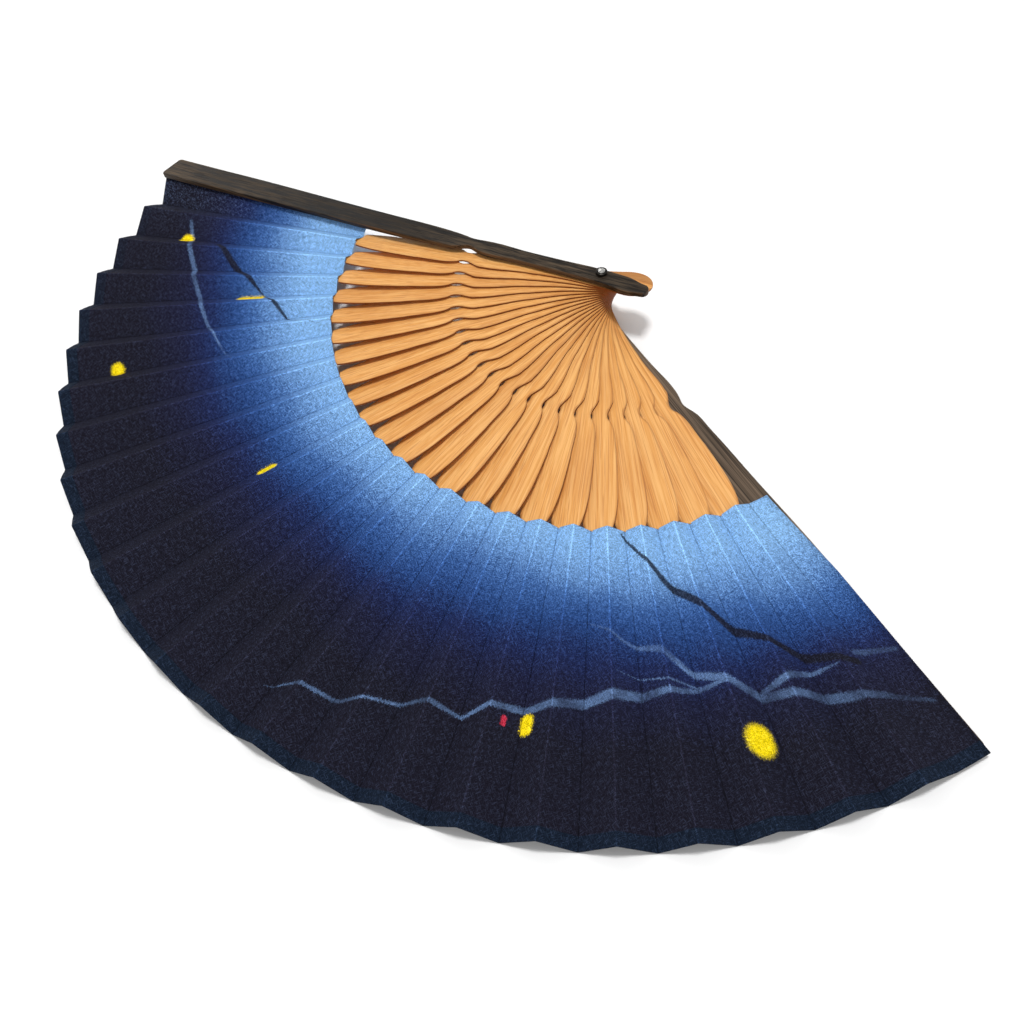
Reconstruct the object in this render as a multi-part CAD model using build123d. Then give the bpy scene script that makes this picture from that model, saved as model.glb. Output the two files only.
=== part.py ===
from build123d import *
import os
from math import asin, atan, cos, degrees, radians, sin, tan

# Folding hand fan, lying open. Millimetres and degrees. The pivot is the Z axis, Z = 0 is the table top,
# and the fan opens towards -Y. Stick 0 is the upper guard, 1 to 23 are the ribs, 24 is the lower guard.

# ---- overall ----
REACH = 191.5  # pivot to the outer edge of the leaf
STICKS = 25
LAST = STICKS - 1
SWEEP = 144.72  # angle between the two guards when open
STEP = SWEEP / LAST
START = 270 - SWEEP / 2

# ---- sticks: half width of each along its length, measured from the pivot ----
RIB_T = 0.5
GUARD_T = 2.0
RIB_HEAD = [(17, 2.85), (11, 3.0), (6, 3.4), (2, 3.85), (-2, 3.95), (-5, 3.3), (-7, 1.9)]
RIB_END = -7.6
WIDE_HEAD = [(17, 2.85), (10, 3.1), (2, 3.9), (-5, 4.9), (-11, 5.8), (-15, 4.9), (-17.4, 2.9)]
WIDE_END = -18.4
BLADE = [
    (25, 3.05), (33, 3.5), (39, 4.2), (43.5, 4.35), (47.5, 3.6), (50.8, 2.5), (54, 3.6), (57.5, 4.65),
    (63, 5.15), (70, 5.6), (78, 5.85), (85, 5.85), (90.5, 5.4),
]
BLADE_END = [(93.3, 4.95), (95.4, 4.3)]
SLAT = [(95.9, 2.2), (97.0, 1.9), (187, 1.7)]
GUARD_INNER = [
    (168, 6.7), (140, 6.5), (110, 6.25), (85, 6.0), (70, 5.6), (62, 5.25), (57, 4.9), (54, 3.7),
    (51.3, 2.75), (48, 3.7), (44.5, 4.4), (39, 4.3), (32, 3.9), (22, 3.8), (12, 3.85), (0, 4.1), (-6, 4.8),
    (-11.5, 5.3), (-15.5, 4.65), (-17.5, 4.15),
]
UPPER_OUTER = [
    (168, 3.9), (140, 3.75), (110, 3.2), (85, 2.9), (70, 2.8), (62, 2.5), (57, 2.1), (54, 1.7), (51.3, 1.4),
    (48, 1.6), (44.5, 1.9), (39, 2.0), (32, 1.7), (22, 1.7), (12, 1.9), (0, 2.2), (-6, 1.9), (-11.5, 1.3),
    (-15.5, 0.1), (-17.5, -0.45),
]
LOWER_OUTER = [
    (168, 6.7), (140, 6.5), (110, 6.0), (85, 5.0), (70, 4.6), (62, 4.3), (57, 4.0), (54, 3.0), (51.3, 2.3),
    (48, 2.9), (44.5, 3.4), (39, 3.4), (32, 2.9), (22, 2.6), (12, 2.5), (0, 2.5), (-6, 2.0), (-11.5, 1.4),
    (-15.5, 0.1), (-17.5, -0.45),
]
GUARD_END = (WIDE_END, 2.3)
GUARD_TIP = 6.9
UPPER_REACH, UPPER_TIP = 195.5, 4.1
LOWER_REACH, LOWER_TIP = 191.0, 6.9
GUARD_CUT = 1.5  # how far back the outer corner of a guard's tip is cut

# ---- stack on the rivet: height of each stick's middle at the pivot ----
STACK_STEP = 0.685
LOWEST_RIB = GUARD_T + 0.8
UPPER_GUARD_UNDER = 18.5

# ---- leaf ----
LEAF_IN = 97.2
LEAF_T = 0.3
RIDGE = 6.2  # height of the folds above the table at the outer edge
PANEL = 2.864  # angle from a valley up to the next ridge, over each rib
LEAF_GAP = 0.3  # between one stick's pleat and the next
UPPER_EDGE = 6.5  # underside of the upper guard at the outer edge
PANEL_TILT = degrees(atan(RIDGE / (REACH * tan(radians(PANEL)))))
BLADE_TWIST = 14.0
SEAT = (RIB_T / 2 + 0.06) / cos(radians(PANEL_TILT))  # middle of a rib up to the leaf that it carries

# ---- rivet ----
PIN_R = 1.2
FREE = 0.08
LOOSE, LOOSE_STICKS = 0.28, 5  # the ribs at the top of the stack rock most, so their holes are loose
GUARD_LOOSE = 0.34
FLANGE_R, FLANGE_T = 1.9, 0.6
CUP_R, CUP_T, CUP_Z = 2.05, 0.9, 20.8
GEM_R, GEM_H = 1.5, 1.3


def azimuth(k):
    return START + STEP * k


def level(k):
    """Height of stick k's middle plane where it crosses the pivot axis."""
    if k == LAST:
        return GUARD_T / 2
    if k == 0:
        return UPPER_GUARD_UNDER + GUARD_T / 2
    return LOWEST_RIB + STACK_STEP * (LAST - 1 - k)


def slope(k):
    """How far stick k leans down towards the leaf, in degrees."""
    if k == LAST:
        return 0.0
    if k == 0:
        return degrees(asin((UPPER_GUARD_UNDER - UPPER_EDGE) / REACH))
    return degrees(asin((level(k) + SEAT - RIDGE / 2) / REACH))


def placed(shape, k):
    return Pos(0, 0, level(k)) * Rot(Z=azimuth(k)) * Rot(Y=slope(k)) * shape


def twist(r):
    """Turn of a rib about its own length: none at the rivet, level with the leaf's panel under the leaf."""
    end, slat = BLADE_END[-1][0], SLAT[1][0]
    if r <= end:
        return BLADE_TWIST * min(1, (r - 25) / 65)
    return min(PANEL_TILT, BLADE_TWIST + (PANEL_TILT - BLADE_TWIST) * (r - end) / (slat - end))


def cross_section(r, half, thick):
    t = radians(twist(r))
    plane = Plane(origin=(r, 0, 0), x_dir=(0, cos(t), sin(t)), z_dir=(1, 0, 0))
    return plane * Rectangle(2 * half, thick)


def smooth(points, parts):
    """One smooth curve through the points, cut into short lengths so that areas inside it come out exact."""
    whole = Spline(*points)
    return [whole.trim(i / parts, (i + 1) / parts) for i in range(parts)]


def head(points, end, join):
    """Flat head and neck, rounded at the end, up to the start of the blade."""
    side = [join] + points
    edges = smooth([*side, (end, 0), *[(x, -y) for x, y in reversed(side)]], 12)
    face = make_face([*edges, Line(edges[-1] @ 1, edges[0] @ 0)])
    return extrude(face, RIB_T / 2, both=True)


def rib(points, end, free):
    blade = Part()
    for first in range(0, len(BLADE) - 1, 3):
        blade += loft([cross_section(r, h, RIB_T) for r, h in BLADE[first : first + 4]])
    slat = loft([cross_section(r, h, RIB_T) for r, h in BLADE[-1:] + BLADE_END + SLAT], ruled=True)
    body = head(points, end, BLADE[0]) + blade + slat
    return body - Cylinder(PIN_R + free, 10)


def guard(side, outline, reach, tip):
    """Flat guard; side is +1 when the fan lies towards +Y of it, and outline is its edge away from the fan."""
    outer = [(x, -side * y) for x, y in outline]
    inner = [(x, side * y) for x, y in reversed(GUARD_INNER)]
    edges = smooth([*outer, (GUARD_END[0], side * GUARD_END[1]), *inner], 24)
    near, far = (reach - GUARD_CUT, -side * tip), (reach, side * GUARD_TIP)
    face = make_face([*edges, *Polyline(edges[-1] @ 1, far, near, edges[0] @ 0).edges()])
    face = fillet([v for v in face.vertices() if v.X > reach - GUARD_CUT - 0.01], 1.6)
    body = extrude(face, GUARD_T / 2, both=True)
    return fillet(body.edges().filter_by(lambda e: abs(e.center().Z) > GUARD_T / 2 - 0.01), 0.35)


def fold(angle, inner, outer):
    """A fold line of the leaf: its direction, its height if carried to the pivot, and at the outer edge."""
    return angle, inner, outer


def pleat(folds):
    """Cloth strip over the given fold lines, cut off square to its own middle direction."""
    middle = (folds[0][0] + folds[-1][0]) / 2
    slices = []
    for r in (LEAF_IN, REACH):
        across = r * cos(radians(folds[-1][0] - middle))
        lower = []
        for i, (angle, z0, z1) in enumerate(folds):
            sideways = across * tan(radians(angle - middle))
            if i == 0:
                sideways += LEAF_GAP / 2
            if i == len(folds) - 1:
                sideways -= LEAF_GAP / 2
            lower.append((sideways, z0 + (z1 - z0) * r / REACH))
        loop = lower + [(y, z + LEAF_T) for y, z in reversed(lower)]
        plane = Plane(origin=(across, 0, 0), x_dir=(0, 1, 0), z_dir=(1, 0, 0))
        slices.append(plane * make_face(Polyline(*loop, close=True)))
    return Rot(Z=middle) * loft(slices, ruled=True)


def valley(k):
    if k == LAST:
        return fold(azimuth(k) - PANEL / 2, GUARD_T + 0.05, GUARD_T + 0.05)
    return fold(azimuth(k) - PANEL / 2, level(k) + SEAT, 0)


def ridge(k):
    if k == 0:
        return fold(azimuth(0) + PANEL / 2, UPPER_GUARD_UNDER - 0.1 - LEAF_T, UPPER_EDGE - 0.1 - LEAF_T)
    return fold(azimuth(k) + PANEL / 2, level(k) + SEAT, RIDGE)


def leaf(k):
    """The pleat carried by stick k: up over its own panel, then down to the next stick."""
    if k == LAST:
        a = valley(k)
        return pleat([a, (a[0] + PANEL + 0.2, a[1], a[2])])
    first = valley(k) if k else (azimuth(0) - PANEL / 2,) + ridge(0)[1:]
    return pleat([first, ridge(k), valley(k + 1)])


# ---- build ----
nodes = {}
wide = rib(WIDE_HEAD, WIDE_END, LOOSE)
upper, plain = rib(RIB_HEAD, RIB_END, LOOSE), rib(RIB_HEAD, RIB_END, FREE)
top = guard(+1, UPPER_OUTER, UPPER_REACH, UPPER_TIP)
nodes["guard_upper"] = placed(top - Cylinder(PIN_R + GUARD_LOOSE, 10), 0)
for k in range(1, LAST):
    nodes[f"rib_{k:02d}"] = placed(wide if k == 1 else upper if k <= LOOSE_STICKS else plain, k)
flange_seat = Pos(0, 0, -GUARD_T / 2 + FLANGE_T / 2) * Cylinder(FLANGE_R, FLANGE_T)
lower = guard(-1, LOWER_OUTER, LOWER_REACH, LOWER_TIP)
nodes["guard_lower"] = placed(lower - Cylinder(PIN_R, 10) - flange_seat, LAST)
for k in range(STICKS):
    nodes[f"leaf_{k:02d}"] = leaf(k)

pin_top = CUP_Z + 0.4
nodes["rivet_pin"] = (
    Pos(0, 0, FLANGE_T / 2) * Cylinder(FLANGE_R, FLANGE_T) + Pos(0, 0, pin_top / 2) * Cylinder(PIN_R, pin_top)
)
cup = Pos(0, 0, CUP_Z + CUP_T / 2) * Cylinder(CUP_R, CUP_T)
cup = fillet(cup.edges().group_by(Axis.Z)[-1], 0.35)
seat = Pos(0, 0, CUP_Z + 0.4 + 0.5) * Cylinder(GEM_R, 1.0)
nodes["rivet_cup"] = cup - seat - Pos(0, 0, CUP_Z) * Cylinder(PIN_R, 0.8)
gem_base = Pos(0, 0, CUP_Z + 0.4) * RegularPolygon(GEM_R - 0.02, 8)
gem_waist = Pos(0, 0, CUP_Z + 0.4 + GEM_H * 0.55) * RegularPolygon(GEM_R * 0.85, 8, rotation=0)
gem_table = Pos(0, 0, CUP_Z + 0.4 + GEM_H) * RegularPolygon(GEM_R * 0.4, 8, rotation=0)
nodes["rivet_gem"] = loft([gem_base, gem_waist, gem_table], ruled=True)

os.makedirs("parts", exist_ok=True)
for name, shape in nodes.items():
    solids = shape.solids() if hasattr(shape, "solids") else [shape]
    out = solids[0] if len(solids) == 1 else Compound(children=list(solids))
    export_step(out, f"parts/{name}.step")
    print(name, len(solids), round(out.volume, 2), out.is_valid)
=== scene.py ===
from math import asin, cos, hypot, pi, radians, sin

import bpy
from bpy.props import FloatProperty, FloatVectorProperty, IntProperty, PointerProperty
from mathutils import Matrix, Vector


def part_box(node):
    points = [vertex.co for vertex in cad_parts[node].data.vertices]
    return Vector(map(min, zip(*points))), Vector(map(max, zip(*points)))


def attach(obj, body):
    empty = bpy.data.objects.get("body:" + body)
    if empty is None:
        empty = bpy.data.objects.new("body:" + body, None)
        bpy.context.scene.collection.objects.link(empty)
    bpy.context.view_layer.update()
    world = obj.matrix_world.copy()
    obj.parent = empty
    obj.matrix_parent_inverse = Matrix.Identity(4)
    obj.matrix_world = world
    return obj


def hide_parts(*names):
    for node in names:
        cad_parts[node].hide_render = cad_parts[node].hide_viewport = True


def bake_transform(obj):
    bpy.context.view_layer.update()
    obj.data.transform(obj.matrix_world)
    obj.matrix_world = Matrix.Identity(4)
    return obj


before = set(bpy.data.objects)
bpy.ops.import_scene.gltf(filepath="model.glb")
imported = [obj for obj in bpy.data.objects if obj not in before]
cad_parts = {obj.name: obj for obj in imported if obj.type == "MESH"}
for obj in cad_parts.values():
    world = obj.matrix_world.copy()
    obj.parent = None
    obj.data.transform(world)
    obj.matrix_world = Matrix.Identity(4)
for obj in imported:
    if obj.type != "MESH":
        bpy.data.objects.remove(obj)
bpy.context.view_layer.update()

bl_info = {
    "name": "Folding hand fan",
    "version": (1, 0, 0),
    "blender": (4, 5, 0),
    "location": "View3D > Sidebar > Fan",
    "description": "Dresses a folding hand fan: pleated cloth leaf, bamboo ribs, dark guards and a rivet",
    "category": "Object",
}

MM = 0.001
STICKS = 25
LAST = STICKS - 1
GUARD_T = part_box("guard_lower")[1][2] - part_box("guard_lower")[0][2]

# ---- small measures of the leaf ----
ON_GUARD = 0.05 * MM  # gap between the lower guard and the leaf on it
UNDER_GUARD = 0.1 * MM  # gap between the upper guard and the leaf under it
LIP_ROWS = (0.0, 0.8 * MM, 1.8 * MM)  # rows of faces in the leaf's lifted inner edge
LIP_RUN = 3 * MM  # how far out the lifted inner edge runs
HEM_RISE = 0.15 * MM  # run of the step up to the hem
HEM_FALL = 0.3 * MM  # run of the step down at the outer edge
AT_EDGE = 0.01 * MM  # nearer to the outer edge than this counts as on it
SLAT_RISE = 0.3 * MM  # run of the rise beside a slat
FOLD_BULGE = 0.08 * MM  # how far a fold is eased, up in a valley and down on a ridge
VALLEY_SHADE, RIDGE_HIGHLIGHT = -0.6, 1.0  # painted shade in a valley fold and painted highlight on a ridge fold: how dark or light each looks
SMOOTH_UNDER = radians(9)
FIRST_SLACK = (4 * MM, 3 * MM, 0.0)  # how much farther each fold of the first pleat reaches
END_EXTRA = radians(0.9)  # the end strip's width beyond one panel
END_EDGE = (4.3 * MM, 6.4 * MM, 3.0)  # see cloth_strip

# ---- the rib's outline as a curve in its material, for the painted shade along its edges ----
CURVE_ALONG, CURVE_START = 8, 0.1  # curve units per metre along the rib, and where the pivot is
CURVE_HALF = 0.1  # curve units per millimetre of half width

GRAIN = "Lengthwise grain"
OPAQUE = (1,)

# ---- table, lights and camera ----
TABLE_SIZE, TABLE_Z = 6, -0.0002
LIGHT_AIM = (0, -0.08, 0)
ROOM_LIGHT = 0.45
CAMERA_AIM, CAMERA_AWAY = (0.0381, -0.0825, 0), 0.3146
CAMERA_AROUND, CAMERA_UP, CAMERA_ROLL = radians(49.58), radians(54.73), radians(-5.16)
CAMERA_SENSOR, CAMERA_LENS = 36, 35.23


def size(default, name, description):
    """A length property in metres, given in millimetres."""
    return FloatProperty(
        name=name, description=description, default=default * MM, subtype="DISTANCE", unit="LENGTH")


def turn(default, name, description):
    """An angle property, given in degrees."""
    return FloatProperty(
        name=name, description=description, default=radians(default), subtype="ANGLE", unit="ROTATION")


def tint(default, name, description):
    """A colour property, given as a hex string of the colour wanted on screen."""
    rgb = [int(default[i : i + 2], 16) / 255 for i in (0, 2, 4)]
    linear = [c / 12.92 if c <= 0.04045 else ((c + 0.055) / 1.055) ** 2.4 for c in rgb]
    return FloatVectorProperty(
        name=name, description=description, default=(*linear, 1), size=4, subtype="COLOR")


class FanSizes(bpy.types.PropertyGroup):
    """Lengths and angles of the fan."""

    reach: size(191.5, "Reach", "Pivot to the outer edge of the leaf")
    leaf_in: size(95.7, "Leaf inner radius", "Pivot to the inner edge of the leaf")
    ridge: size(6.2, "Ridge height", "Height of the ridge folds above the table at the outer edge")
    cloth: size(0.12, "Cloth thickness", "Thickness of the leaf")
    fold: size(0.3, "Fold rounding", "Half width of the rounding along each fold")
    hem: size(4.0, "Hem width", "Width of the hem along the outer edge")
    hem_step: size(0.12, "Hem step", "How far the doubled hem stands above the leaf")
    slat: size(1.9, "Slat half width", "Half width of the slat that shows through the leaf")
    slat_step: size(0.08, "Slat step", "How far the leaf rises over the slat")
    sweep: turn(144.72, "Sweep", "Angle between the guards when the fan is open")
    panel: turn(2.864, "Panel angle", "Angle from a valley fold to the next ridge fold")
    seat: size(0.369, "Seat", "Height from the middle of a rib up to the leaf on it")
    lip: size(0.3, "Lip", "How far the leaf's inner edge stands off the ribs")
    stack_step: size(0.685, "Stack step", "Distance from one rib to the next on the rivet")
    lowest_rib: size(2.8, "Lowest rib height", "Middle of the lowest rib at the rivet")
    upper_under: size(18.5, "Upper guard height", "Underside of the upper guard at the rivet")
    upper_edge: size(6.5, "Upper guard edge height", "Underside of the upper guard at the outer edge")
    gem: size(1.48, "Cap radius", "Radius of the faceted cap on the rivet")
    rows: IntProperty(
        name="Rows", description="Rows of cloth faces from the inner to the outer edge", default=30)


class FanColours(bpy.types.PropertyGroup):
    """Colours of the fan."""

    bamboo: tint("DE9B50", "Bamboo", "Face of the ribs")
    bamboo_light: tint("EFB56E", "Bamboo light streak", "Lightest streaks in the ribs")
    bamboo_dark: tint("B9733A", "Bamboo dark streak", "Dark fibres in the ribs")
    # painted shade: darkens the ribs' edges and side faces, standing in for the shade in the gaps between ribs
    bamboo_edge_shade: tint("7A3F16", "Bamboo edge", "Painted shade at the ribs' edges and side faces")
    stain: tint("120E0B", "Guard stain", "Dark stain on the guards")
    stain_light: tint("5C4D3C", "Guard streak", "Worn lighter streaks in the guards")
    stain_pale: tint("7A6755", "Lower guard streak", "Paler streaks in the lower guard")
    # lighter brown for the guards' side faces
    stain_side: tint("72563E", "Guard edge", "Lighter brown on the guards' side faces")
    sky: tint("86B4E4", "Leaf sky blue", "Leaf next to the ribs")
    azure: tint("6C97CC", "Leaf light blue", "Second colour of the leaf")
    royal: tint("3E65A2", "Leaf royal blue", "Third colour of the leaf")
    deep: tint("264782", "Leaf deep blue", "Fourth colour of the leaf")
    night: tint("1B2856", "Leaf night blue", "Fifth colour of the leaf")
    dusk: tint("1A1C38", "Leaf dusk blue", "Sixth colour of the leaf")
    ink: tint("181725", "Leaf ink", "Leaf towards the outer edge")
    hem: tint("0F1B2C", "Hem", "Hem along the outer edge")
    twig: tint("17161F", "Twig", "Dark brush strokes")
    mist: tint("7E97C6", "Mist", "Pale brush strokes")
    spark: tint("FFE206", "Spark", "Yellow dots")
    ember: tint("C43048", "Ember", "Small red dab")
    floor: tint("FCFCFC", "Floor", "Table top")


def deselect():
    for o in bpy.context.selected_objects:
        o.select_set(False)


def blank(name, points, faces):
    """A new piece made of the given points and faces."""
    mesh = bpy.data.meshes.new(name)
    mesh.from_pydata(points, [], faces)
    mesh.update()
    piece = bpy.data.objects.new(name, mesh)
    bpy.context.scene.collection.objects.link(piece)
    return piece


# ---- where the sticks and folds are ----


def azimuth(k):
    """Direction of stick k, counted from the upper guard at 0."""
    s = bpy.context.scene.fan_sizes
    return 1.5 * pi - s.sweep / 2 + s.sweep / LAST * k


def level(k):
    """Height at the rivet of the folds that stick k carries."""
    s = bpy.context.scene.fan_sizes
    return s.lowest_rib + s.stack_step * (LAST - 1 - k) + s.seat


def valley(k):
    """A valley fold: its direction, its height if carried to the pivot, and at the outer edge."""
    s = bpy.context.scene.fan_sizes
    if k == LAST:
        return azimuth(k) - s.panel / 2, GUARD_T + ON_GUARD, GUARD_T + ON_GUARD
    return azimuth(k) - s.panel / 2, level(k), 0.0


def ridge(k):
    """A ridge fold, given as a valley fold is."""
    s = bpy.context.scene.fan_sizes
    if k == 0:
        drop = UNDER_GUARD + s.cloth
        return azimuth(0) + s.panel / 2, s.upper_under - drop, s.upper_edge - drop
    return azimuth(k) + s.panel / 2, level(k), s.ridge


def flat_angle(fold_a, fold_b):
    """Angle that the panel between two folds has in the cloth before it is pleated."""
    s = bpy.context.scene.fan_sizes
    across = s.reach * (fold_b[0] - fold_a[0])
    return hypot(across, fold_b[2] - fold_a[2]) / s.reach


# ---- materials ----


def node(tree, kind, inputs=(), **settings):
    """Adds a node; inputs maps socket names or numbers to values or to other nodes' outputs."""
    n = tree.nodes.new("ShaderNode" + kind)
    for key, value in settings.items():
        setattr(n, key, value)
    for key, value in dict(inputs).items():
        if isinstance(value, bpy.types.NodeSocket):
            tree.links.new(value, n.inputs[key])
        else:
            n.inputs[key].default_value = value
    return n


def math(tree, operation, a, b=0.0, c=0.0, clamp=False):
    """The result of a Math node."""
    return node(tree, "Math", {0: a, 1: b, 2: c}, operation=operation, use_clamp=clamp).outputs[0]


def vector(tree, operation, a, b=(0, 0, 0), out=0, **more):
    """The result of a Vector Math node."""
    return node(tree, "VectorMath", {0: a, 1: b, **more}, operation=operation).outputs[out]


def soft_step(tree, value, low, high, to_low=0.0, to_high=1.0):
    """Goes smoothly from to_low to to_high while the value goes from low to high."""
    inputs = {0: value, 1: low, 2: high, 3: to_low, 4: to_high}
    return node(tree, "MapRange", inputs, interpolation_type="SMOOTHSTEP").outputs[0]


def blend_colour(tree, share, a, b, how="MIX"):
    """Colour a with a share of colour b."""
    return node(tree, "Mix", {0: share, 6: a, 7: b}, data_type="RGBA", blend_type=how).outputs[2]


def shaded(tree, colour, light):
    """The colour multiplied by a grey."""
    grey = node(tree, "CombineColor", {0: light, 1: light, 2: light}).outputs[0]
    return blend_colour(tree, 1.0, colour, grey, "MULTIPLY")


def own_place(tree):
    """Coordinates that stay with the piece."""
    return node(tree, "TexCoord").outputs["Object"]


def facing_up(tree):
    """How far the surface faces up, from -1 to 1."""
    return node(tree, "SeparateXYZ", {0: node(tree, "NewGeometry").outputs["Normal"]}).outputs[2]


def noise(tree, where, scale, detail=2.0, roughness=0.5):
    """Soft noise from 0 to 1."""
    inputs = {"Vector": where, "Scale": scale, "Detail": detail, "Roughness": roughness}
    return node(tree, "TexNoise", inputs).outputs["Fac"]


def ramp(tree, share, stops):
    """A colour from the stops, given as (place, colour)."""
    n = node(tree, "ValToRGB", {0: share})
    band = n.color_ramp
    while len(band.elements) < len(stops):
        band.elements.new(0.5)
    for element, (place, colour) in zip(band.elements, stops):
        element.position, element.color = place, colour
    return n.outputs[0]


def group(name, ins, outs):
    """A shader node group with the named sockets: {name: (kind, default)}."""
    tree = bpy.data.node_groups.new(name, "ShaderNodeTree")
    for label, (kind, default) in ins.items():
        socket = tree.interface.new_socket(label, in_out="INPUT", socket_type="NodeSocket" + kind)
        if default is not None:
            socket.default_value = default
    for label, kind in outs.items():
        tree.interface.new_socket(label, in_out="OUTPUT", socket_type="NodeSocket" + kind)
    return tree, tree.nodes.new("NodeGroupInput").outputs, tree.nodes.new("NodeGroupOutput").inputs


def placed(tree, name, inputs):
    """The outputs of a node group set among the tree's nodes."""
    n = tree.nodes.new("ShaderNodeGroup")
    n.node_tree = bpy.data.node_groups[name]
    for key, value in inputs.items():
        if isinstance(value, bpy.types.NodeSocket):
            tree.links.new(value, n.inputs[key])
        else:
            n.inputs[key].default_value = value
    return n.outputs


def make_grain():
    """Lengthwise wood grain: broad streaks, fine dark fibres and their height. The ribs and guards share it."""
    if GRAIN in bpy.data.node_groups:
        return
    tree, i, o = group(
        GRAIN,
        {"Along": ("Vector", None), "Fineness": ("Float", 1.0), "Run": ("Float", 30.0)},
        {"Streak": "Float", "Fibre": "Float", "Height": "Float"},
    )
    across = math(tree, "MULTIPLY", 1000.0, i["Fineness"])
    along = math(tree, "DIVIDE", across, i["Run"])
    scale = node(tree, "CombineXYZ", {0: along, 1: across, 2: across}).outputs[0]
    lanes = vector(tree, "MULTIPLY", i["Along"], scale)
    broad = noise(tree, lanes, 0.55, 3.0, 0.55)
    fine = noise(tree, lanes, 2.6, 2.0, 0.6)
    hair = noise(tree, vector(tree, "MULTIPLY", lanes, (0.6, 1, 1)), 1.6, 1.0, 0.5)
    streak = math(tree, "ADD", math(tree, "MULTIPLY", broad, 0.6), math(tree, "MULTIPLY", fine, 0.4))
    fibre = soft_step(tree, hair, 0.52, 0.66)
    tree.links.new(soft_step(tree, streak, 0.39, 0.61), o["Streak"])
    tree.links.new(fibre, o["Fibre"])
    tree.links.new(math(tree, "SUBTRACT", streak, math(tree, "MULTIPLY", fibre, 0.35)), o["Height"])


def make_weave():
    """Slubbed plain weave: crossing threads of uneven thickness."""
    tree, i, o = group(
        "Slubbed weave",
        {"Cloth": ("Vector", None), "Thread": ("Float", 0.00042)},
        {"Mottle": "Float", "Thread sheen": "Float", "Height": "Float"},
    )
    per_metre = math(tree, "DIVIDE", 1.0, i["Thread"])
    threads = vector(tree, "SCALE", i["Cloth"], Scale=per_metre)
    warp = noise(tree, vector(tree, "MULTIPLY", threads, (1.1, 0.15, 1)), 1.0, 1.0, 0.6)
    weft = noise(tree, vector(tree, "MULTIPLY", threads, (0.15, 1.1, 1)), 1.0, 1.0, 0.6)
    knots = noise(tree, threads, 0.75, 2.0, 0.7)
    both = math(tree, "MAXIMUM", warp, weft)
    height = math(tree, "ADD", math(tree, "MULTIPLY", both, 0.55), math(tree, "MULTIPLY", knots, 0.45))
    tree.links.new(soft_step(tree, height, 0.38, 0.7), o["Mottle"])
    # mask for the painted sheen on the threads
    tree.links.new(soft_step(tree, both, 0.56, 0.72), o["Thread sheen"])
    tree.links.new(height, o["Height"])


def make_stroke():
    """One tapered brush stroke between two points, with a ragged edge."""
    tree, i, o = group(
        "Brush stroke",
        {
            "Place": ("Vector", None), "From": ("Vector", None), "To": ("Vector", None),
            "Start": ("Float", 0.001), "End": ("Float", 0.001), "Ragged": ("Float", 0.0),
        },
        {"Mask": "Float"},
    )
    along = vector(tree, "SUBTRACT", i["To"], i["From"])
    there = vector(tree, "SUBTRACT", i["Place"], i["From"])
    length = math(tree, "MAXIMUM", vector(tree, "DOT_PRODUCT", along, along, out="Value"), 1e-9)
    share = math(tree, "DIVIDE", vector(tree, "DOT_PRODUCT", there, along, out="Value"), length, clamp=True)
    nearest = vector(tree, "SCALE", along, Scale=share)
    off = vector(tree, "DISTANCE", there, nearest, out="Value")
    off = math(tree, "ADD", off, i["Ragged"])
    width = node(tree, "Mix", {0: share, 2: i["Start"], 3: i["End"]}, data_type="FLOAT").outputs[0]
    mask = soft_step(tree, math(tree, "DIVIDE", off, width), 1.25, 0.7)
    tree.links.new(mask, o["Mask"])


def material(name, roughness):
    """A new material, its node tree and its shader."""
    m = bpy.data.materials.new(name)
    m.use_nodes = True
    shader = m.node_tree.nodes["Principled BSDF"]
    shader.inputs["Roughness"].default_value = roughness
    return m, m.node_tree, shader


def bump(tree, height, strength, distance):
    """Normals that follow the height."""
    return node(tree, "Bump", {"Height": height, "Strength": strength, "Distance": distance}).outputs[0]


def feed(tree, shader, colour, roughness=None, normal=None):
    """Links a material's colour, roughness and normals to its shader."""
    for name, output in (("Base Color", colour), ("Roughness", roughness), ("Normal", normal)):
        if output is not None:
            tree.links.new(output, shader.inputs[name])


def own_axes(tree, angle, shift):
    """Coordinates turned so that X runs along a stick, and the same moved so that each stick differs."""
    turned = node(tree, "Mapping", {"Vector": own_place(tree), "Rotation": (0, 0, -angle)}).outputs[0]
    return turned, vector(tree, "ADD", turned, (shift, shift * 0.37, 0))


# half width of a rib: (distance from the pivot in mm, half width in mm)
RIB_PROFILE = [
    (-8, 3.2), (0, 3.9), (15, 2.85), (25, 3.05), (33, 3.5), (39, 4.2), (43.5, 4.35), (47.5, 3.6),
    (50.8, 2.5), (54, 3.6), (57.5, 4.65), (63, 5.15), (70, 5.6), (78, 5.85), (85, 5.85), (90.5, 5.4),
    (95.4, 4.3), (100, 4.0),
]


def on_curve(place, half):
    """A point of the outline in the curve's own units."""
    return place * MM * CURVE_ALONG + CURVE_START, half * CURVE_HALF


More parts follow.
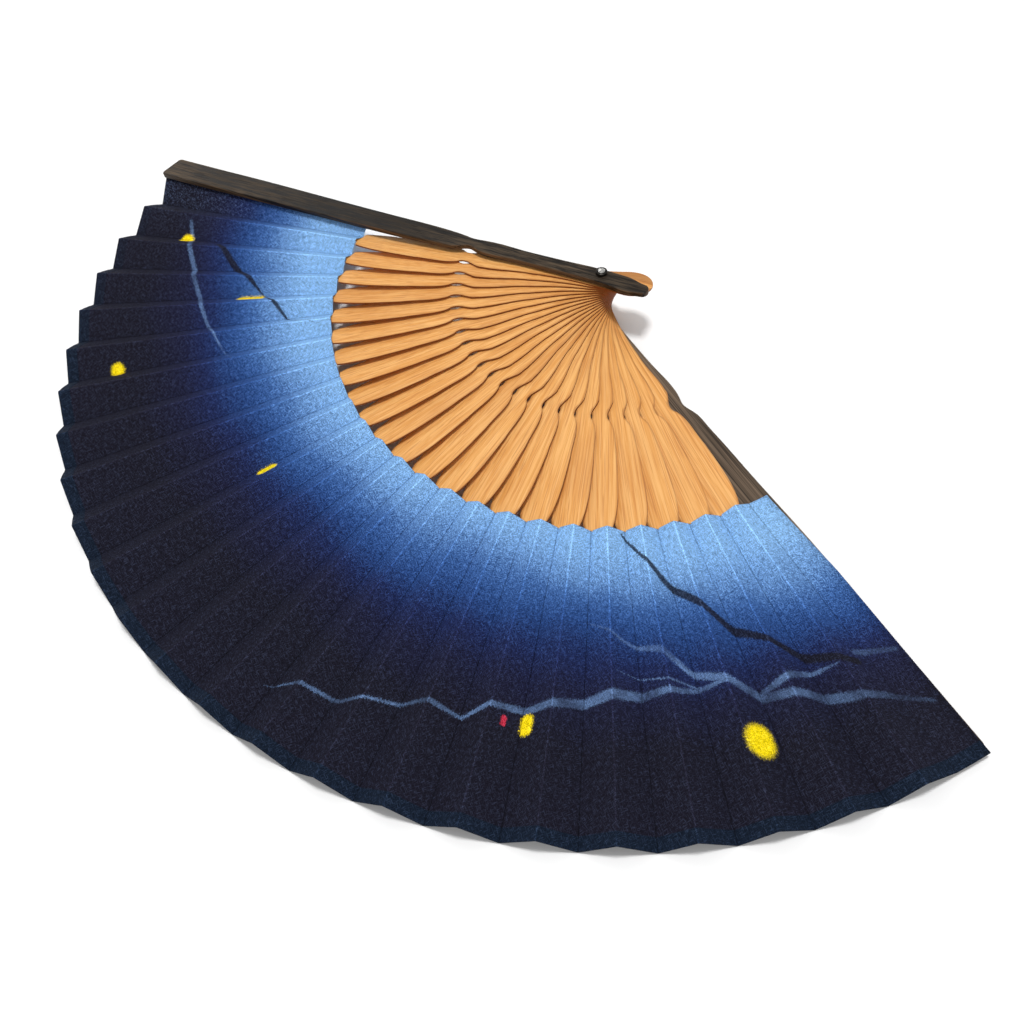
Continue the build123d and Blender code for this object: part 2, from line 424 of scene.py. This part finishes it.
def bamboo(k):
    """Split bamboo: warm tan, lengthwise fibres, painted shade along the edges and on the side faces."""
    c = bpy.context.scene.fan_colours
    m, tree, shader = material(f"Bamboo_{k:02d}", 0.42)
    shader.inputs["Specular IOR Level"].default_value = 0.3
    axes, moved = own_axes(tree, azimuth(k), 0.31 * k)
    grain = placed(tree, GRAIN, {"Along": moved, "Fineness": 1.9, "Run": 55.0})
    colour = blend_colour(tree, grain["Streak"], c.bamboo, c.bamboo_light)
    colour = blend_colour(tree, math(tree, "MULTIPLY", grain["Fibre"], 0.5), colour, c.bamboo_dark)
    blotch = noise(tree, moved, 22.0, 2.0)
    colour = blend_colour(tree, soft_step(tree, blotch, 0.45, 0.75, 0.0, 0.3), colour, c.bamboo_dark)
    split = node(tree, "SeparateXYZ", {0: axes})
    along = math(tree, "MULTIPLY_ADD", split.outputs[0], CURVE_ALONG, CURVE_START)
    side = node(tree, "FloatCurve", {1: along})
    curve = side.mapping.curves[0]
    for point in RIB_PROFILE[1:-1]:
        curve.points.new(*on_curve(*point))
    for end in (0, -1):
        curve.points[end].location = on_curve(*RIB_PROFILE[end])
    side.mapping.update()
    half_width = math(tree, "MULTIPLY", side.outputs[0], MM / CURVE_HALF)
    inside = math(tree, "SUBTRACT", half_width, math(tree, "ABSOLUTE", split.outputs[1]))
    # painted shade: darker along the rib's outline, where the gaps between ribs are in shade
    edge = soft_step(tree, inside, 0.0009, 0.0, 0.0, 0.5)
    colour = blend_colour(tree, edge, colour, c.bamboo_edge_shade)
    # painted shade: darker on the side faces, which are turned away from the light
    cut = soft_step(tree, math(tree, "ABSOLUTE", facing_up(tree)), 0.75, 0.35)
    colour = blend_colour(tree, cut, colour, c.bamboo_edge_shade)
    roughness = soft_step(tree, grain["Streak"], 0.0, 1.0, 0.52, 0.4)
    feed(tree, shader, colour, roughness, bump(tree, grain["Height"], 0.25, 0.00015))
    return m


def stained(name, k):
    """Dark stained wood with worn streaks, lighter brown on the side faces, paler on the lower guard."""
    c = bpy.context.scene.fan_colours
    m, tree, shader = material(name, 0.4)
    shader.inputs["Specular IOR Level"].default_value = 0.2
    _, moved = own_axes(tree, azimuth(k), 0.7 + k)
    grain = placed(tree, GRAIN, {"Along": moved, "Fineness": 1.2, "Run": 70.0})
    worn = noise(tree, moved, 16.0, 3.0)
    pale = k == LAST
    worn = soft_step(tree, worn, 0.3, 0.7, 0.7 if pale else 0.2, 1.0)
    share = math(tree, "MULTIPLY", grain["Streak"], worn)
    if pale:
        share = math(tree, "MULTIPLY_ADD", share, 0.6, 0.4)
    colour = blend_colour(tree, share, c.stain, c.stain_pale if pale else c.stain_light)
    colour = blend_colour(tree, math(tree, "MULTIPLY", grain["Fibre"], 0.7), colour, c.stain)
    # lighter brown on the faces turned away from straight up, along the light streaks
    side_faces = soft_step(tree, math(tree, "ABSOLUTE", facing_up(tree)), 0.98, 0.6, 0.0, 0.55)
    colour = blend_colour(tree, math(tree, "MULTIPLY", side_faces, grain["Streak"]), colour, c.stain_side)
    roughness = soft_step(tree, grain["Streak"], 0.0, 1.0, 0.36, 0.55)
    feed(tree, shader, colour, roughness, bump(tree, grain["Height"], 0.35, 0.00025))
    return m


# brush strokes on the leaf: (direction in degrees, distance from the pivot in mm, half width in mm)
TWIGS = [
    [(316.2, 97, 0.5), (319, 106, 0.7), (322, 115, 1.3), (326, 125.5, 1.2), (329, 134, 1.5), (331.5, 139.5, 1.1),
     (335.5, 148.5, 1.5), (339.5, 155, 1.2)],
    [(209.5, 151, 1.0), (213.3, 140.5, 1.4), (217, 131, 1.2), (220, 124, 0.4), (223.7, 117, 0.9), (227.4, 111, 0.5),
     (229.6, 102, 0.2)],
]
MISTS = [
    [(206, 168, 1.0), (209, 164, 1.1), (213.7, 157, 1.2), (219.4, 149.5, 1.1), (225.7, 142.5, 0.9), (231, 136, 0.6),
     (236, 130, 0.3)],
    [(280, 176, 0.3), (283.3, 171, 0.8), (287.5, 169, 0.9), (290.2, 165.5, 0.7), (295.6, 160.5, 1.0), (299, 161.2, 0.8),
     (301.5, 157, 1.1), (306, 155.3, 1.4), (313.4, 150.5, 1.9), (317, 149.7, 1.6), (321, 149.8, 1.1), (326, 149, 0.8)],
    [(310.5, 126.5, 0.3), (315, 133.3, 0.7), (319.4, 137.2, 1.3), (322.3, 143.9, 1.2), (326.1, 149.2, 1.5),
     (329.2, 155.2, 1.5), (333.3, 158.3, 1.6), (337, 163.5, 1.6), (340.2, 166.7, 1.2), (343.5, 173, 0.8)],
    [(329.3, 153.7, 1.1), (332.5, 151.8, 1.4), (337.5, 153.5, 0.5)],
    [(340, 152, 1.3), (344, 156, 1.0)],
    [(314, 143, 0.2), (319, 146, 0.5), (324, 149.5, 0.7)],
]
SPARKS = [(208.4, 167.2, 2.3, 0.5), (232, 173.2, 2.4, 0), (220.9, 128.2, 1.6, 3.6), (257.2, 130.4, 1.6, 1.8),
          (305.3, 159.8, 1.7, 1.4), (327, 167.2, 3.9, 0.9)]
EMBERS = [(303.1, 160.2, 0.7, 0.8)]


def plan(direction, distance):
    """A place seen from above, from its direction in degrees and its distance from the pivot in mm."""
    return (distance * MM * cos(radians(direction)), distance * MM * sin(radians(direction)), 0)


def strokes(tree, where, ragged, paths):
    """One mask for all the strokes in paths."""
    whole = None
    for path in paths:
        for (a, r, w), (a2, r2, w2) in zip(path, path[1:]):
            mask = placed(tree, "Brush stroke", {
                "Place": where, "From": plan(a, r), "To": plan(a2, r2), "Start": w * MM, "End": w2 * MM,
                "Ragged": ragged})["Mask"]
            whole = mask if whole is None else math(tree, "MAXIMUM", whole, mask)
    return whole


def dabs(tree, where, ragged, spots):
    """Dots and dabs, each drawn out along its own direction from the pivot."""
    return strokes(tree, where, ragged, [[(a, r - e, w), (a, r + e + 0.05, w)] for a, r, w, e in spots])


def leaf_cloth():
    """Slubbed cloth dyed from pale blue at the ribs to ink, with brushed twigs, mist and sparks."""
    s, c = bpy.context.scene.fan_sizes, bpy.context.scene.fan_colours
    m, tree, shader = material("Leaf_cloth", 0.82)
    where = node(tree, "UVMap", uv_map="Plan").outputs[0]
    cloth = node(tree, "UVMap", uv_map="Cloth").outputs[0]
    weave = placed(tree, "Slubbed weave", {"Cloth": cloth, "Thread": 0.00026})
    across = node(tree, "SeparateXYZ", {0: where})
    radius = vector(tree, "LENGTH", where, out="Value")
    share = math(tree, "DIVIDE", math(tree, "SUBTRACT", radius, s.leaf_in), s.reach - s.leaf_in)
    lean = math(tree, "DIVIDE", across.outputs[0], radius)  # -1 at the upper guard's side, +1 at the lower
    side = math(tree, "SUBTRACT", lean, 0.05)
    sag = math(tree, "MULTIPLY", math(tree, "MULTIPLY", side, side), 0.2)
    drift = math(tree, "MULTIPLY_ADD", noise(tree, where, 26.0, 3.0), 0.16, -0.08)
    share = math(tree, "ADD", math(tree, "SUBTRACT", share, sag), drift)
    speck = math(tree, "MULTIPLY_ADD", weave["Mottle"], 0.10, -0.05)
    colour = ramp(tree, math(tree, "SUBTRACT", share, speck), [
        (0.0, c.sky), (0.1, c.azure), (0.19, c.royal), (0.28, c.deep),
        (0.38, c.night), (0.48, c.dusk), (0.64, c.ink)])
    ragged = math(tree, "MULTIPLY_ADD", noise(tree, cloth, 1900.0, 2.0, 0.7), 0.0016, -0.0008)
    twig = strokes(tree, where, math(tree, "ADD", ragged, 0.0002), TWIGS)
    mist = strokes(tree, where, math(tree, "MULTIPLY_ADD", ragged, 1.5, 0.0003), MISTS)
    frayed = math(tree, "MULTIPLY", ragged, 1.6)
    pale = blend_colour(tree, 0.5, c.mist, c.azure)
    faded = math(tree, "MULTIPLY", mist, soft_step(tree, noise(tree, where, 120.0), 0.3, 0.7, 0.14, 0.5))
    faded = math(tree, "MULTIPLY", faded, soft_step(tree, lean, 0.89, 0.95, 1.1, 0.4))
    colour = blend_colour(tree, faded, colour, pale)
    colour = blend_colour(tree, math(tree, "MULTIPLY", twig, 0.9), colour, c.twig)
    colour = blend_colour(tree, dabs(tree, where, ragged, EMBERS), colour, c.ember)
    colour = blend_colour(tree, dabs(tree, where, frayed, SPARKS), colour, c.spark)
    hem_edge = soft_step(tree, radius, s.reach - s.hem - 0.0002, s.reach - s.hem + 0.0002)
    hem_edge = math(tree, "MULTIPLY", hem_edge, soft_step(tree, lean, -0.97, -0.6, 0.12, 1.0))
    colour = blend_colour(tree, hem_edge, colour, c.hem)
    colour = shaded(tree, colour, soft_step(tree, weave["Mottle"], 0.0, 1.0, 0.55, 1.5))
    # painted sheen: light threads near the upper guard, standing in for light glancing off the cloth
    painted_thread_sheen = soft_step(tree, lean, -0.88, -0.955, 0.07, 0.3)
    colour = blend_colour(tree, math(tree, "MULTIPLY", weave["Thread sheen"], painted_thread_sheen), colour, c.mist)
    # painted shade darkens the valley folds and a painted highlight lightens the ridge folds
    painted_fold_light = node(tree, "Attribute", attribute_name="painted_fold_light").outputs["Fac"]
    colour = shaded(tree, colour, math(tree, "MULTIPLY_ADD", painted_fold_light, 0.6, 1.0))
    roughness = soft_step(tree, weave["Mottle"], 0.0, 1.0, 0.9, 0.72)
    feed(tree, shader, colour, roughness, bump(tree, weave["Height"], 0.6, 0.0003))
    shader.inputs["Specular IOR Level"].default_value = 0.12
    return m


# ---- the leaf ----


def cloth_strip(name, folds, first_flat, mesh_columns, slack=(), edge=None):
    """A pleated strip over the given folds.

    mesh_columns lists (panel, share across it, offset, lift, painted shade and highlight of the fold), and slack how
    much farther each fold reaches. edge gives how far the last panel stands off the last stick at its inner end and
    farther out, and how many times sooner than the outer edge it gets there.
    """
    s = bpy.context.scene.fan_sizes
    start, middle = s.leaf_in + LIP_RUN, s.reach - s.hem - s.leaf_in - LIP_RUN
    radii = [s.leaf_in + step for step in LIP_ROWS]
    radii += [start + middle * i / s.rows for i in range(s.rows + 1)]
    radii += [s.reach - s.hem + HEM_RISE, s.reach - s.hem / 2, s.reach - HEM_FALL, s.reach]
    flats = [first_flat]
    for a, b in zip(folds, folds[1:]):
        flats.append(flats[-1] + flat_angle(a, b))
    points, plans, cloths, painted_fold_lights = [], [], [], []
    for r in radii:
        out = (r - s.leaf_in) / (s.reach - s.leaf_in)
        hem = s.hem_step if s.reach - s.hem < r < s.reach - AT_EDGE else 0.0
        hem += s.lip * max(0.0, 1 - (r - s.leaf_in) / LIP_RUN) ** 2
        for panel, share, offset, lift, painted_fold_light in mesh_columns:
            (a0, low0, high0), (a1, low1, high1) = folds[panel], folds[panel + 1]
            if edge and panel == len(folds) - 2:
                inner, outer, sooner = edge
                a1 = azimuth(LAST) + asin((inner + (outer - inner) * min(1.0, out * sooner)) / r)
            here = share + offset / (r * (a1 - a0))
            angle = a0 + (a1 - a0) * here
            z0 = low0 + (high0 - low0) * r / s.reach
            z1 = low1 + (high1 - low1) * r / s.reach
            z = z0 + (z1 - z0) * here + lift + hem + s.cloth / 2
            far = r
            if slack:
                far += (slack[panel] * (1 - here) + slack[panel + 1] * here) * out
            points.append((far * cos(angle), far * sin(angle), z))
            plans.append((r * cos(angle), r * sin(angle)))
            flat = flats[panel] + (flats[panel + 1] - flats[panel]) * here
            cloths.append((r * cos(flat), r * sin(flat)))
            painted_fold_lights.append(painted_fold_light)
    wide = len(mesh_columns)
    faces = [
        (j * wide + i, (j + 1) * wide + i, (j + 1) * wide + i + 1, j * wide + i + 1)
        for j in range(len(radii) - 1)
        for i in range(wide - 1)
    ]
    piece = blank(name, points, faces)
    for label, coordinates in (("Plan", plans), ("Cloth", cloths)):
        layer = piece.data.uv_layers.new(name=label)
        for loop in piece.data.loops:
            layer.data[loop.index].uv = coordinates[loop.vertex_index]
    attribute = piece.data.attributes.new("painted_fold_light", "FLOAT", "POINT")
    attribute.data.foreach_set("value", painted_fold_lights)
    deselect()
    piece.select_set(True)
    bpy.context.view_layer.objects.active = piece
    bpy.ops.object.shade_smooth_by_angle(angle=SMOOTH_UNDER)
    skin = piece.modifiers.new("Cloth thickness", "SOLIDIFY")
    skin.thickness, skin.offset = s.cloth, 0.0
    opening = flats[-1] - flats[0]
    area = opening * (s.reach**2 - s.leaf_in**2) / 2
    return piece, flats[-1], (s.reach * opening, s.reach - s.leaf_in), area


def leaf_columns(s, guarded):
    """Columns over one stick's own panel and the free panel beyond it. No slat shows under a guard."""
    f = s.fold
    slat = [] if guarded else [
        (0, 0.5, -s.slat - SLAT_RISE, 0.0, 0), (0, 0.5, -s.slat, s.slat_step, 0),
        (0, 0.5, s.slat, s.slat_step, 0), (0, 0.5, s.slat + SLAT_RISE, 0.0, 0)]
    # each column's last entry is painted light: painted shade in a valley, painted highlight on a ridge
    return [
        (0, 0.0, 0.0, FOLD_BULGE, VALLEY_SHADE), (0, 0.0, f, 0.0, 0), *slat, (0, 1.0, -f, 0.0, 0),
        (0, 1.0, 0.0, -FOLD_BULGE, RIDGE_HIGHLIGHT), (1, 0.0, f, 0.0, 0), (1, 1.0, -f, 0.0, 0),
        (1, 1.0, 0.0, FOLD_BULGE, VALLEY_SHADE)]


class FAN_OT_leaf(bpy.types.Operator):
    """Make the pleated cloth leaf, one strip for each stick"""

    bl_idname = "fan.leaf"
    bl_label = "Pleated leaf"

    def execute(self, context):
        s = context.scene.fan_sizes
        make_weave()
        make_stroke()
        cloth = leaf_cloth()
        flat = azimuth(0)
        for k in range(LAST):
            first = valley(k) if k else (azimuth(0) - s.panel / 2, *ridge(0)[1:])
            folds = [first, ridge(k), valley(k + 1)]
            piece, flat, cut, area = cloth_strip(
                f"leaf_pleat_{k:02d}", folds, flat, leaf_columns(s, k == 0), () if k else FIRST_SLACK)
            piece.data.materials.append(cloth)
            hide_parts(f"leaf_{k:02d}")
            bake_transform(piece)
        start = valley(LAST)
        folds = [start, (start[0] + s.panel + END_EXTRA, start[1], start[2])]
        columns = [
            (0, 0.0, 0.0, FOLD_BULGE, VALLEY_SHADE), (0, 0.0, s.fold, 0.0, 0),
            (0, 0.5, 0.0, 0.0, 0), (0, 1.0, 0.0, 0.0, 0)]
        piece, flat, cut, area = cloth_strip(f"leaf_end_{LAST}", folds, flat, columns, edge=END_EDGE)
        piece.data.materials.append(cloth)
        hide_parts(f"leaf_{LAST}")
        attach(piece, "lower_guard")
        return {"FINISHED"}


def dress(name, finish):
    """Gives a CAD node its finish."""
    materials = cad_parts[name].data.materials
    materials.clear()
    materials.append(finish)


class FAN_OT_ribs(bpy.types.Operator):
    """Give each bamboo rib its own grain"""

    bl_idname = "fan.ribs"
    bl_label = "Bamboo ribs"

    def execute(self, context):
        make_grain()
        for k in range(1, LAST):
            dress(f"rib_{k:02d}", bamboo(k))
        return {"FINISHED"}


class FAN_OT_guards(bpy.types.Operator):
    """Give the two guards their dark stained finish"""

    bl_idname = "fan.guards"
    bl_label = "Dark guards"

    def execute(self, context):
        make_grain()
        dress("guard_upper", stained("Stained_upper", 0))
        dress("guard_lower", stained("Stained_lower", LAST))
        return {"FINISHED"}


class FAN_OT_rivet(bpy.types.Operator):
    """Make the rivet's faceted cap and finish the pin and the cup"""

    bl_idname = "fan.rivet"
    bl_label = "Rivet"

    def execute(self, context):
        s = context.scene.fan_sizes
        low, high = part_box("rivet_gem")
        deselect()
        bpy.ops.mesh.primitive_ico_sphere_add(subdivisions=2, radius=s.gem, location=(0, 0, low[2]))
        cap = context.active_object
        cap.name = "rivet_cap"
        bpy.ops.object.mode_set(mode="EDIT")
        bpy.ops.mesh.select_all(action="SELECT")
        bpy.ops.mesh.bisect(plane_co=(0, 0, low[2]), plane_no=(0, 0, 1), clear_inner=True, use_fill=True)
        bpy.ops.mesh.select_all(action="SELECT")
        bpy.ops.transform.resize(value=(1, 1, (high[2] - low[2]) / s.gem), center_override=(0, 0, low[2]))
        bpy.ops.mesh.normals_make_consistent(inside=False)
        bpy.ops.object.mode_set(mode="OBJECT")
        bpy.ops.object.transform_apply(location=True, rotation=True, scale=True)
        bpy.ops.object.shade_flat()
        shine, tree, shader = material("Bright_cap", 0.14)
        cells = noise(tree, own_place(tree), 900.0)
        colour = ramp(tree, cells, [(0.35, (0.5, 0.49, 0.46, 1)), (0.65, (0.92, 0.91, 0.88, 1))])
        feed(tree, shader, colour, soft_step(tree, cells, 0.3, 0.7, 0.22, 0.08))
        shader.inputs["Metallic"].default_value = 1.0
        cap.data.materials.clear()
        cap.data.materials.append(shine)
        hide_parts("rivet_gem")
        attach(cap, "lower_guard")
        for name, label, dark, light, rough in (
            ("rivet_cup", "Blackened_cup", (0.012, 0.011, 0.01, 1), (0.05, 0.045, 0.04, 1), 0.35),
            ("rivet_pin", "Steel_pin", (0.2, 0.19, 0.18, 1), (0.36, 0.35, 0.34, 1), 0.4),
        ):
            m, tree, shader = material(label, rough)
            scuff = noise(tree, own_place(tree), 700.0, 3.0)
            roughness = soft_step(tree, scuff, 0.3, 0.7, rough + 0.1, rough - 0.08)
            feed(tree, shader, ramp(tree, scuff, [(0.35, dark), (0.7, light)]), roughness)
            shader.inputs["Metallic"].default_value = 0.9
            dress(name, m)
        return {"FINISHED"}


class FAN_OT_stage(bpy.types.Operator):
    """Make the pale table top, the soft lights and the camera"""

    bl_idname = "fan.stage"
    bl_label = "Table, lights and camera"

    def execute(self, context):
        c = context.scene.fan_colours
        deselect()
        bpy.ops.mesh.primitive_plane_add(size=TABLE_SIZE, location=(0, 0, TABLE_Z))
        floor = context.active_object
        floor.name = "table_top"
        m, tree, shader = material("Table_white", 0.9)
        dim = tuple(x * 0.985 for x in c.floor[:3]) + OPAQUE
        feed(tree, shader, ramp(tree, noise(tree, own_place(tree), 40.0), [(0.4, c.floor), (0.7, dim)]))
        shader.inputs["Specular IOR Level"].default_value = 0.1
        floor.data.materials.append(m)
        for name, place, wide, power in (
            ("key_light", (0.05, -0.05, 1.2), 0.24, 8.6),
            ("fill_light", (0.9, -0.7, 0.9), 1.2, 2.0),
            ("left_light", (-1.1, 0.1, 0.8), 1.0, 2.6),
        ):
            lamp = bpy.data.lights.new(name, "AREA")
            lamp.shape, lamp.size, lamp.energy = "DISK", wide, power
            o = bpy.data.objects.new(name, lamp)
            facing = (Vector(LIGHT_AIM) - Vector(place)).to_track_quat("-Z", "Y")
            o.matrix_world = Matrix.Translation(place) @ facing.to_matrix().to_4x4()
            context.scene.collection.objects.link(o)
        world = bpy.data.worlds.new("Soft_room")
        world.use_nodes = True
        background = world.node_tree.nodes["Background"]
        background.inputs["Color"].default_value = (1, 1, 1, 1)
        background.inputs["Strength"].default_value = ROOM_LIGHT
        context.scene.world = world
        context.scene.view_settings.view_transform = "Standard"

        around, up, roll = CAMERA_AROUND, CAMERA_UP, CAMERA_ROLL
        back = Vector((sin(around) * cos(up), -cos(around) * cos(up), sin(up)))
        right = Vector((cos(around), sin(around), 0))
        high = back.cross(right)
        right, high = right * cos(roll) + high * sin(roll), high * cos(roll) - right * sin(roll)
        eye = Vector(CAMERA_AIM) + back * CAMERA_AWAY
        lens = bpy.data.cameras.new("camera")
        lens.sensor_width, lens.lens = CAMERA_SENSOR, CAMERA_LENS
        lens.clip_start, lens.clip_end = 0.01, 20
        camera = bpy.data.objects.new("camera", lens)
        turned = Matrix((right, high, back)).transposed().to_4x4()
        camera.matrix_world = Matrix.Translation(eye) @ turned
        context.scene.collection.objects.link(camera)
        context.scene.camera = camera
        return {"FINISHED"}


class VIEW3D_PT_fan(bpy.types.Panel):
    """Lists the fan's pieces in the sidebar"""

    bl_label = "Folding hand fan"
    bl_idname = "VIEW3D_PT_fan"
    bl_space_type = "VIEW_3D"
    bl_region_type = "UI"
    bl_category = "Fan"

    def draw(self, context):
        for operator in OPERATORS:
            self.layout.operator(operator.bl_idname)
        for title, source in (("Sizes", context.scene.fan_sizes), ("Colours", context.scene.fan_colours)):
            box = self.layout.box()
            box.label(text=title)
            for name in source.__annotations__:
                box.prop(source, name)


OPERATORS = (FAN_OT_ribs, FAN_OT_guards, FAN_OT_leaf, FAN_OT_rivet, FAN_OT_stage)
CLASSES = (FanSizes, FanColours, *OPERATORS, VIEW3D_PT_fan)


def register():
    for cls in CLASSES:
        bpy.utils.register_class(cls)
    bpy.types.Scene.fan_sizes = PointerProperty(type=FanSizes)
    bpy.types.Scene.fan_colours = PointerProperty(type=FanColours)


def unregister():
    del bpy.types.Scene.fan_colours
    del bpy.types.Scene.fan_sizes
    for cls in reversed(CLASSES):
        bpy.utils.unregister_class(cls)


def main():
    register()
    bpy.ops.fan.ribs()
    bpy.ops.fan.guards()
    bpy.ops.fan.leaf()
    bpy.ops.fan.rivet()
    bpy.ops.fan.stage()


if __name__ == "__main__":
    main()
